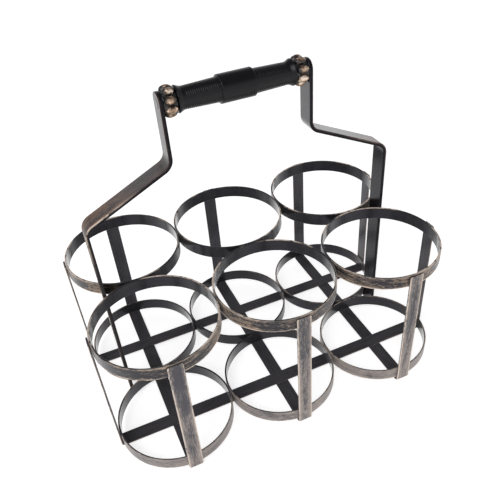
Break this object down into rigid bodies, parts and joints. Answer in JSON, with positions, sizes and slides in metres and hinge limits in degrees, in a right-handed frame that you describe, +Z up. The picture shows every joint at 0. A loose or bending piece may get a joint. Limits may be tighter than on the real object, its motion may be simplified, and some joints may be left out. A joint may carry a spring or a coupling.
{
  "type": "bottle caddy",
  "caption": "Open carrier of welded flat strip with round pockets in two rows for bottles, lifted by a raised bent-bar handle with a turned grip.",
  "frame": {"origin": "middle of the underside, on the surface that the caddy stands on", "axes": "+X along the row of three pockets and along the grip, +Y from the front row to the rear row, +Z up"},
  "size_m": [0.261, 0.1748, 0.2396],
  "materials": {
    "strip_paint": "semi-gloss black, dry-brushed with antique bronze on the outer faces and edges",
    "bar_paint": "semi-gloss black with bronze-rubbed edges",
    "grip_paint": "gloss black, finely ribbed",
    "collar_paint": "black with bright bronze rubbed on the lobes"
  },
  "bodies": {
    "root": {"lower_ring_front_left": "strip_paint", "lower_ring_front_middle": "strip_paint", "lower_ring_front_right": "strip_paint", "lower_ring_rear_left": "strip_paint", "lower_ring_rear_middle": "strip_paint", "lower_ring_rear_right": "strip_paint", "upper_ring_front_left": "strip_paint", "upper_ring_front_middle": "strip_paint", "upper_ring_front_right": "strip_paint", "upper_ring_rear_left": "strip_paint", "upper_ring_rear_middle": "strip_paint", "upper_ring_rear_right": "strip_paint", "long_strap_front": "strip_paint", "long_strap_rear": "strip_paint", "cross_strap_left": "strip_paint", "cross_strap_middle": "strip_paint", "cross_strap_right": "strip_paint", "handle_leg_left": "bar_paint", "handle_leg_right": "bar_paint", "tie_rod": "bar_paint", "grip_collar_left": "collar_paint", "grip_collar_right": "collar_paint", "grip_spindle": "grip_paint"}
  },
  "joints": []
}
